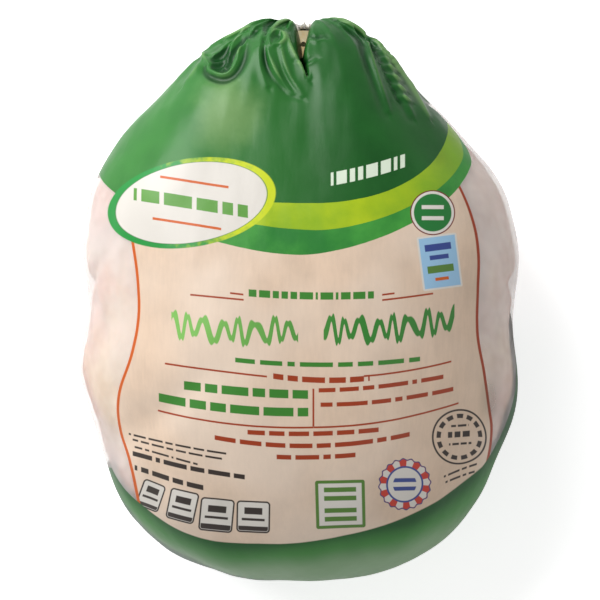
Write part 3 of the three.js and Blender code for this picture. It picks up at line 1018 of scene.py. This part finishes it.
def film_material(settings):
    """Thin glossy film: opaque where it is printed and milky clear in the windows.

    The fields are bowl shapes: dark green, lime and green stripes above, beige between two rules, and a
    green band below. Under the widest line the band and the top field reach round the back.
    """
    material, tree, place = start_material("printed_film")
    press = Press(tree, place, settings)
    x, y, front = press.x, press.y, press.front
    wobble = (press.mottle - 0.5) * 0.012
    back_top = (y - curve_value(tree, press.round_back, LEG_END_PRINT)).over(0, 1)
    high = y.over(GREEN_ABOVE, 2)
    mid_field = (press.field(MID_FIELD) + wobble).under(1, 0.006) | high
    lime_field = (press.field(LIME_FIELD) + wobble).under(1, 0.006)
    dark_field = (press.field(DARK_FIELD) + wobble).under(1, 0.006) | high | x.under(GREEN_LEFT_OF, 1)
    top_field = front * mid_field | back_top
    bowl_out = press.field(BEIGE_FIELD)
    beige_end = bowl_out.over(1, 0.006)
    side_band = (y - curve_value(tree, press.round_back, NECK_END_PRINT)).under(0, 1)
    band = beige_end * y.under(x.ranged(-40, 40, -74, -60), 1) * front | side_band
    left_rule = curve_value(tree, y, LEFT_RULE)
    right_rule = curve_value(tree, y, RIGHT_RULE)
    between = (x - left_rule).over(0) * (x - right_rule).under(0) * front

    beige = print_beige(press)
    greens = print_greens(press, lime_field, dark_field)
    # The band's colour, with its painted shade and painted reflection.
    low = band_colour_with_painted_light(press, bowl_out)
    colour = blend(tree, between, srgb(236, 230, 226), beige)
    edge_rules = (x - left_rule).size().under(0.65, 0.4) | (x - right_rule).size().under(0.65, 0.4)
    rule_ink = blend(tree, x.over(0), settings.orange_ink, settings.rust_ink)
    colour = blend(tree, edge_rules * front, colour, rule_ink)
    colour = blend(tree, band, colour, low)
    press.colour = blend(tree, top_field, colour, greens)
    oval = print_oval(press)
    print_disc(press)
    fold = Wire(tree, place_node(tree, "ShaderNodeAttribute", attribute_name="fold").outputs["Fac"])
    # Painted shade in the fold troughs and a painted highlight on the crests, read from the fold attribute.
    colour = blend(tree, fold.ranged(-0.2, -1.3) * 0.8, press.colour, srgb(0, 52, 18))
    colour = blend(tree, fold.ranged(0.5, 1.5) * 0.42, colour, srgb(146, 190, 118))

    inked = between | band | top_field | edge_rules * front | oval
    cling = noise(tree, place, 26, 3, 0.6).ranged(0.35, 0.65, -0.12, 0.12) + settings.milkiness
    alpha = inked + inked.flipped() * cling
    creases = use_group(tree, crease_group(), Vector=place, Scale=38.0)["Height"]
    normal = add_bump(tree, creases, 0.09, 0.0012)
    sheen = noise(tree, place, 90, 2) * 0.16 + (settings.gloss - 0.08)
    finish_material(tree, {
        "Base Color": colour, "Roughness": sheen, "Alpha": alpha, "Normal": normal,
        "Specular IOR Level": 0.32, "IOR": 1.5})
    return material


# The bird


class Crease(NamedTuple):
    """A groove in the bird's flank, seen from the side: its line in Y and Z, depth and width."""

    line: tuple
    depth: float
    width: float


CREASES = {
    "thigh front": Crease(((48, 96), (26, 82), (10, 62), (6, 40), (14, 18)), 2.6, 4.5),
    "drumstick": Crease(((84, 74), (62, 62), (40, 56), (22, 58)), 1.6, 4),
    "wing top": Crease(((-2, 66), (-20, 78), (-44, 80), (-66, 70), (-78, 52)), 2.4, 4),
    "wing fold": Crease(((-70, 44), (-48, 50), (-24, 46), (-6, 34)), 1.8, 3.5),
    "wing under": Crease(((-4, 30), (-30, 22), (-58, 22), (-78, 34)), 2.0, 4),
}
BIRD_MARGIN = 1.8
BIRD_INSET, BIRD_LEG_INSET, BIRD_LEAST_INSET = 1.7, 3, 0.8


def bird_grid():
    """The bird as a grid: the body a little inside the film, with grooves round its thighs and wings.

    Each point lies inside the soft body by an inset, which grows towards the legs and by the grooves on the
    flanks, and swings with two sizes of ripples. The film's broad waves are added.
    """
    turn = 2 * math.pi * np.arange(BIRD_COLUMNS) / BIRD_COLUMNS
    turn, along = np.meshgrid(turn, np.linspace(0, 1, BIRD_ROWS + 1))
    base, normals, soft = soft_body(turn, along)
    groove = np.zeros(soft.shape[:-1])
    for crease in CREASES.values():
        distance, _, _ = line_distance(soft.reshape(-1, 3)[:, 1:], smooth_line(crease.line))
        groove += crease.depth * np.exp(-((distance.reshape(groove.shape) / crease.width) ** 2))
    flank = ease(48, 74, np.abs(soft[..., 0]))
    lift = -BIRD_INSET - BIRD_LEG_INSET * ease(84, 100, base[..., 1]) - groove * flank
    lift += 0.45 * ripples(soft, 22, 10, seed=21) + 0.12 * ripples(soft, 6, 14, seed=5)
    bird = soft + normals * (np.minimum(lift, -BIRD_LEAST_INSET) + broad_waves(soft))[..., None]
    bird[..., 2] = np.maximum(bird[..., 2], BIRD_LEAST_INSET)
    sunk = draw_into_recess(bird, BIRD_MARGIN)
    return pinch_cleft(sunk, bird, BIRD_MARGIN)


def skin_material(settings):
    """Moist raw skin: cream to pink in soft patches, yellow where fat lies under it, with fine pores."""
    material, tree, place = start_material("raw_skin")
    patch = noise(tree, place, 16, 4, 0.6)
    vein = noise(tree, place, 48, 5, 0.65)
    fat = noise(tree, place, 11, 3, 0.5, (1, 0.6, 1.4))
    colour = blend(tree, patch.ranged(0.36, 0.64), settings.skin_pale, settings.skin_pink)
    colour = blend(tree, fat.ranged(0.5, 0.68) * 0.7, colour, settings.skin_fat)
    colour = blend(tree, vein.ranged(0.56, 0.72) * 0.5, colour, srgb(196, 128, 112))
    pores = place_node(tree, "ShaderNodeTexVoronoi", {"Vector": place, "Scale": 240.0})
    dots = Wire(tree, pores.outputs["Distance"]).ranged(0, 0.35)
    normal = add_bump(tree, dots * 0.5 + vein * 0.8, 0.35, 0.0006)
    finish_material(tree, {
        "Base Color": colour, "Roughness": vein.ranged(0.3, 0.7, 0.28, 0.5), "Normal": normal,
        "Subsurface Weight": 0.12, "Subsurface Radius": (0.9, 0.35, 0.2), "Subsurface Scale": 0.003})
    return material


# The neck and tail of the bag, and the closure

NECK_START, NECK_END_Y, NECK_RADIUS = 100.5, 120.2, 2.55
TAIL_RUFF, TAIL_DROP, TAIL_Y, TAIL_SAG = 7.2, 34, 120.8, 2
TAIL_THICKNESS, TAIL_PLEAT, FAN_SPREAD = 0.26, 1.05, 0.5
LOBE_HEIGHT, LOBE_TURN, LOBE_SPREAD = 8, 1.52, 0.24
# Strengths of painted glow: emission on the film's lobe over the closure and on the closure, which are no
# lamps.
LOBE_PAINTED_GLOW, CLOSURE_PAINTED_GLOW = 0.2, 0.46


def neck_mesh():
    """The gathered neck: a tube along Y whose radius swings with its pleats, closed at both ends."""
    share = np.linspace(0, 1, NECK_ROWS)
    y = NECK_START + (NECK_END_Y - NECK_START) * share
    angle = 2 * math.pi * np.arange(NECK_COLUMNS) / NECK_COLUMNS
    angle, y = np.meshgrid(angle, y)
    twist = 0.05 * (y - NECK_START)
    radius = NECK_RADIUS * (0.9 + 0.1 * np.cos(11 * angle + twist * 6))
    radius = radius * np.where((y <= NECK_START) | (y >= NECK_END_Y), 0, 1)
    x = GATHER[0] + radius * np.cos(angle)
    z = GATHER[2] + radius * np.sin(angle)
    return closed_grid_mesh("bag_neck", np.stack([x, y, z], axis=-1))


def tail_mesh():
    """The tail: a ruff of pleated film round the closure's end, drawn out into a fan that hangs below it.

    Round the gather, the rim's radius is a small circle, plus a flat-topped bell about straight down for the
    fan and a narrow bell about straight up for a lobe over the closure. The pleats are sine waves along Y
    that are closest in the fan, grow towards the rim and are weaker in the lobe, which has a wave of its own.
    The fan leans in with the square of its length.
    """
    turn = 2 * math.pi * np.arange(TAIL_COLUMNS) / TAIL_COLUMNS
    turn, share = np.meshgrid(turn, np.linspace(0, 1, TAIL_ROWS))
    below = (turn - math.pi / 2) % (2 * math.pi) - math.pi
    rim = TAIL_RUFF + (TAIL_DROP - TAIL_RUFF) * np.exp(-(np.abs(below / FAN_SPREAD) ** 6))
    above = bell(turn, LOBE_TURN, LOBE_SPREAD)
    rim = rim * (1 + 0.05 * np.sin(17 * turn + 1) + 0.04 * np.sin(41 * turn)) + LOBE_HEIGHT * above
    radius = rim * share
    x = GATHER[0] + radius * np.cos(turn)
    z = GATHER[2] + radius * np.sin(turn)
    phase = 26 * turn + 30 * below * np.exp(-((below / 0.6) ** 2)) + 1.2 * np.sin(3 * turn)
    y = TAIL_Y + TAIL_PLEAT * (1 - 0.7 * above) * share**0.6 * np.sin(phase)
    y = y + 1.5 * share * np.sin(2.4 * turn + 0.6) * (below < -0.7)
    y = y + above * share**2 * (0.9 + 1.6 * np.sin(11 * turn + 2 * share))
    y = y - TAIL_SAG * (radius * np.cos(below) / TAIL_DROP) ** 2 * (np.abs(below) < 1.2)
    front = np.stack([x, y + TAIL_THICKNESS / 2, z], axis=-1)
    back = np.stack([x, y - TAIL_THICKNESS / 2, z], axis=-1)
    return closed_grid_mesh("bag_tail", np.concatenate([back, front[::-1]]))


def clear_film_material():
    """Film of the neck and tail: green to the neck's end, then bare and milky, with sharp fine creases.

    The lobe over the closure has a faint painted glow: emission that stands in for light coming through it.
    """
    material, tree, place = start_material("clear_film")
    x, y, z = (Wire(tree, socket) / MM for socket in place_node(
        tree, "ShaderNodeSeparateXYZ", {"Vector": place}).outputs)
    x, z = x - float(GATHER[0]), z - float(GATHER[2])
    neck = (x * x + z * z).math("SQRT").under(NECK_RADIUS + 0.5, 0.6) * y.under(NECK_END_Y - 0.4, 0.4)
    cloud = noise(tree, place, 120, 3, 0.6)
    creases = use_group(tree, bpy.data.node_groups["Film creases"], Vector=place, Scale=160.0)["Height"]
    normal = add_bump(tree, creases, 0.4, 0.0006)
    colour = blend(tree, cloud.ranged(0.3, 0.7), srgb(222, 214, 204), srgb(240, 238, 236))
    colour = blend(tree, neck, colour, srgb(18, 52, 26))
    # Painted glow: the film above the closure is given emission, so it looks lit through from behind.
    painted_glow = blend(tree, z.ranged(4, 10), (0, 0, 0), colour)
    finish_material(tree, {
        "Base Color": colour, "Roughness": 0.22, "Alpha": cloud.ranged(0.3, 0.7, 0.65, 0.9),
        "Normal": normal, "Emission Color": painted_glow, "Emission Strength": LOBE_PAINTED_GLOW})
    return material


def closure_material(settings):
    """Satin tan plastic with soft mottling and scuffed, paler patches, and a faint painted glow as if lit
    through from behind.
    """
    material, tree, place = start_material("closure_sleeve")
    cloud = noise(tree, place, 300, 4, 0.6)
    scuff = noise(tree, place, 900, 2, 0.5, (1, 0.2, 1))
    colour = blend(tree, cloud.ranged(0.3, 0.7), settings.sleeve_colour, srgb(242, 226, 192))
    normal = add_bump(tree, scuff, 0.3, 0.0002)
    finish_material(tree, {
        # Painted glow: emission in the closure's own colour lifts it out of the shade of the slot.
        "Base Color": colour, "Roughness": scuff.ranged(0.3, 0.7, 0.38, 0.6), "Normal": normal,
        "Emission Color": colour, "Emission Strength": CLOSURE_PAINTED_GLOW})
    return material


# The add-on


def colour_setting(name, description, *channels):
    """A colour property with a default from display values."""
    return FloatVectorProperty(name=name, description=description, subtype="COLOR", size=3, min=0, max=1,
                               default=srgb(*channels))


class ChickenSettings(bpy.types.PropertyGroup):
    """Sizes and colours of the bag, its print and the bird."""

    film_rows: IntProperty(name="Film rows", description="Rows of the film's grid", default=296, min=40)
    film_columns: IntProperty(name="Film columns", description="Columns of the film's grid", default=334,
                              min=60)
    pleat_count: IntProperty(name="Pleats", description="Pleats round the gather", default=23, min=3)
    pleat_height: FloatProperty(name="Pleat height", description="Height of a pleat's crest", unit="LENGTH",
                                default=1.9 * MM, min=0)
    milkiness: FloatProperty(name="Milkiness", description="How far the clear film hides the bird",
                             subtype="FACTOR", default=0.42, min=0, max=1)
    gloss: FloatProperty(name="Film roughness", description="Roughness of the film", subtype="FACTOR",
                         default=0.34, min=0, max=1)
    dark_green: colour_setting("Dark green", "The top field of the print", 20, 76, 28)
    band_green: colour_setting("Band green", "The band along the neck end", 66, 132, 62)
    beige: colour_setting("Beige", "The middle field of the print", 222, 196, 172)
    green_ink: colour_setting("Green ink", "Large bars and brush strokes", 62, 128, 50)
    rust_ink: colour_setting("Rust ink", "Rules and small bars", 156, 62, 34)
    orange_ink: colour_setting("Orange ink", "The left rule and the oval's rules", 200, 92, 30)
    skin_pale: colour_setting("Pale skin", "The lightest skin", 228, 206, 194)
    skin_pink: colour_setting("Pink skin", "Skin over muscle", 220, 174, 162)
    skin_fat: colour_setting("Fat", "Skin over fat", 234, 208, 158)
    sleeve_colour: colour_setting("Closure", "The closure's sleeve", 232, 200, 144)


class StageSettings(bpy.types.PropertyGroup):
    """The camera, floor and lights."""

    camera_distance: FloatProperty(name="Camera distance", description="From the widest line to the camera",
                                   unit="LENGTH", default=2.4, min=0.5)
    view_width: FloatProperty(name="View width", description="Width of the view at the widest line",
                              unit="LENGTH", default=0.267, min=0.05)
    key_energy: FloatProperty(name="Key light", description="Power of the key light", unit="POWER",
                              default=32, min=0)
    fill_energy: FloatProperty(name="Fill light", description="Power of the fill light", unit="POWER",
                               default=2.6, min=0)
    floor_glow: FloatProperty(name="Floor glow", description="Lifts the shadows that the camera sees",
                              default=0.6, min=0)
    floor_colour: colour_setting("Floor", "The plain floor", 246, 246, 246)


class CHICKEN_OT_bag_film(bpy.types.Operator):
    """Add the printed film of the bag"""

    bl_idname = "chicken.bag_film"
    bl_label = "Bag Film"

    def execute(self, context):
        settings = context.scene.chicken
        grids = film_grid(settings.film_rows, settings.film_columns, settings.pleat_count,
                          settings.pleat_height / MM)
        piece = add_piece(closed_grid_mesh("bag_film", *grids), film_material(settings))
        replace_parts(piece, "bagged_chicken")
        return {"FINISHED"}


class CHICKEN_OT_bird(bpy.types.Operator):
    """Add the bird inside the bag"""

    bl_idname = "chicken.bird"
    bl_label = "Bird"

    def execute(self, context):
        mesh = closed_grid_mesh("bird", bird_grid())
        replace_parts(add_piece(mesh, skin_material(context.scene.chicken)), "bagged_chicken")
        return {"FINISHED"}


class CHICKEN_OT_bag_tail(bpy.types.Operator):
    """Add the gathered neck and the tail of the bag"""

    bl_idname = "chicken.bag_tail"
    bl_label = "Bag Neck and Tail"

    def execute(self, context):
        material = clear_film_material()
        for mesh in (neck_mesh(), tail_mesh()):
            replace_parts(add_piece(mesh, material), "bagged_chicken")
        return {"FINISHED"}


class CHICKEN_OT_closure(bpy.types.Operator):
    """Finish the closure's sleeve"""

    bl_idname = "chicken.closure"
    bl_label = "Closure"

    def execute(self, context):
        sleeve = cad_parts["neck_closure"]
        sleeve.data.materials.clear()
        sleeve.data.materials.append(closure_material(context.scene.chicken))
        return {"FINISHED"}


# The stage, in metres
FLOOR_REACH = 3.0
LIGHT_TARGET = (0, 0, 0.05)
KEY_SIZE, KEY_PLACE = 1.3, (-0.95, 0.9, 1.05)
FILL_SIZE, FILL_PLACE = 1.2, (0.9, -0.5, 0.9)
HORIZON_LIGHT, ZENITH_LIGHT = 0.64, 0.17


def area_light(name, energy, size, place):
    """A square area light at a place, turned to the object."""
    data = bpy.data.lights.new(name, "AREA")
    data.energy, data.size = energy, size
    light = bpy.data.objects.new(name, data)
    light.location = place
    light.rotation_euler = (Vector(LIGHT_TARGET) - Vector(place)).to_track_quat("-Z", "Y").to_euler()
    bpy.context.scene.collection.objects.link(light)


class CHICKEN_OT_stage(bpy.types.Operator):
    """Add the floor, the lights and the camera that looks straight down"""

    bl_idname = "chicken.stage"
    bl_label = "Stage"

    def execute(self, context):
        stage = context.scene.chicken_stage
        mesh = bpy.data.meshes.new("floor")
        corners = ((-1, -1), (1, -1), (1, 1), (-1, 1))
        mesh.from_pydata([(x * FLOOR_REACH, y * FLOOR_REACH, 0) for x, y in corners], [], [(0, 1, 2, 3)])
        floor = bpy.data.objects.new("floor", mesh)
        context.scene.collection.objects.link(floor)
        material = bpy.data.materials.new("floor")
        material.use_nodes = True
        shader = material.node_tree.nodes["Principled BSDF"]
        for label, value in (("Base Color", (*stage.floor_colour, 1)), ("Roughness", 0.9),
                             ("Specular IOR Level", 0.1), ("Emission Strength", stage.floor_glow)):
            shader.inputs[label].default_value = value
        seen = place_node(material.node_tree, "ShaderNodeLightPath").outputs["Is Camera Ray"]
        connect(material.node_tree, seen, shader.inputs["Emission Color"])
        mesh.materials.append(material)

        world = bpy.data.worlds.new("studio")
        world.use_nodes = True
        sky = world.node_tree.nodes["Background"]
        aim = place_node(world.node_tree, "ShaderNodeTexCoord").outputs["Generated"]
        up = Wire(world.node_tree, place_node(
            world.node_tree, "ShaderNodeSeparateXYZ", {"Vector": aim}).outputs["Z"])
        connect(world.node_tree, up.ranged(0.1, 0.95, HORIZON_LIGHT, ZENITH_LIGHT), sky.inputs["Color"])
        context.scene.world = world
        area_light("key", stage.key_energy, KEY_SIZE, KEY_PLACE)
        area_light("fill", stage.fill_energy, FILL_SIZE, FILL_PLACE)

        lens = bpy.data.cameras.new("camera")
        lens.lens = lens.sensor_width * stage.camera_distance / stage.view_width
        lens.clip_start, lens.clip_end = 0.1, 20
        camera = bpy.data.objects.new("camera", lens)
        camera.location = (0, 0, WIDEST_MIDDLE * MM + stage.camera_distance)
        context.scene.collection.objects.link(camera)
        context.scene.camera = camera
        context.scene.view_settings.view_transform = "Standard"
        return {"FINISHED"}


class CHICKEN_PT_panel(bpy.types.Panel):
    """Sidebar panel with the chicken's pieces and settings"""

    bl_idname = "CHICKEN_PT_panel"
    bl_label = "Bagged Whole Chicken"
    bl_space_type = "VIEW_3D"
    bl_region_type = "UI"
    bl_category = "Chicken"

    def draw(self, context):
        for operator in OPERATORS:
            self.layout.operator(operator.bl_idname)
        for settings in (context.scene.chicken, context.scene.chicken_stage):
            for name in settings.bl_rna.properties.keys():
                if name not in ("rna_type", "name"):
                    self.layout.prop(settings, name)


OPERATORS = (CHICKEN_OT_stage, CHICKEN_OT_bag_film, CHICKEN_OT_bird, CHICKEN_OT_bag_tail, CHICKEN_OT_closure)
CLASSES = (ChickenSettings, StageSettings, *OPERATORS, CHICKEN_PT_panel)


def register():
    for made in CLASSES:
        bpy.utils.register_class(made)
    bpy.types.Scene.chicken = PointerProperty(type=ChickenSettings)
    bpy.types.Scene.chicken_stage = PointerProperty(type=StageSettings)


def unregister():
    del bpy.types.Scene.chicken_stage
    del bpy.types.Scene.chicken
    for made in reversed(CLASSES):
        bpy.utils.unregister_class(made)


def main():
    """Builds every piece in order."""
    register()
    bpy.ops.chicken.stage()
    bpy.ops.chicken.bag_film()
    bpy.ops.chicken.bird()
    bpy.ops.chicken.bag_tail()
    bpy.ops.chicken.closure()


if __name__ == "__main__":
    main()
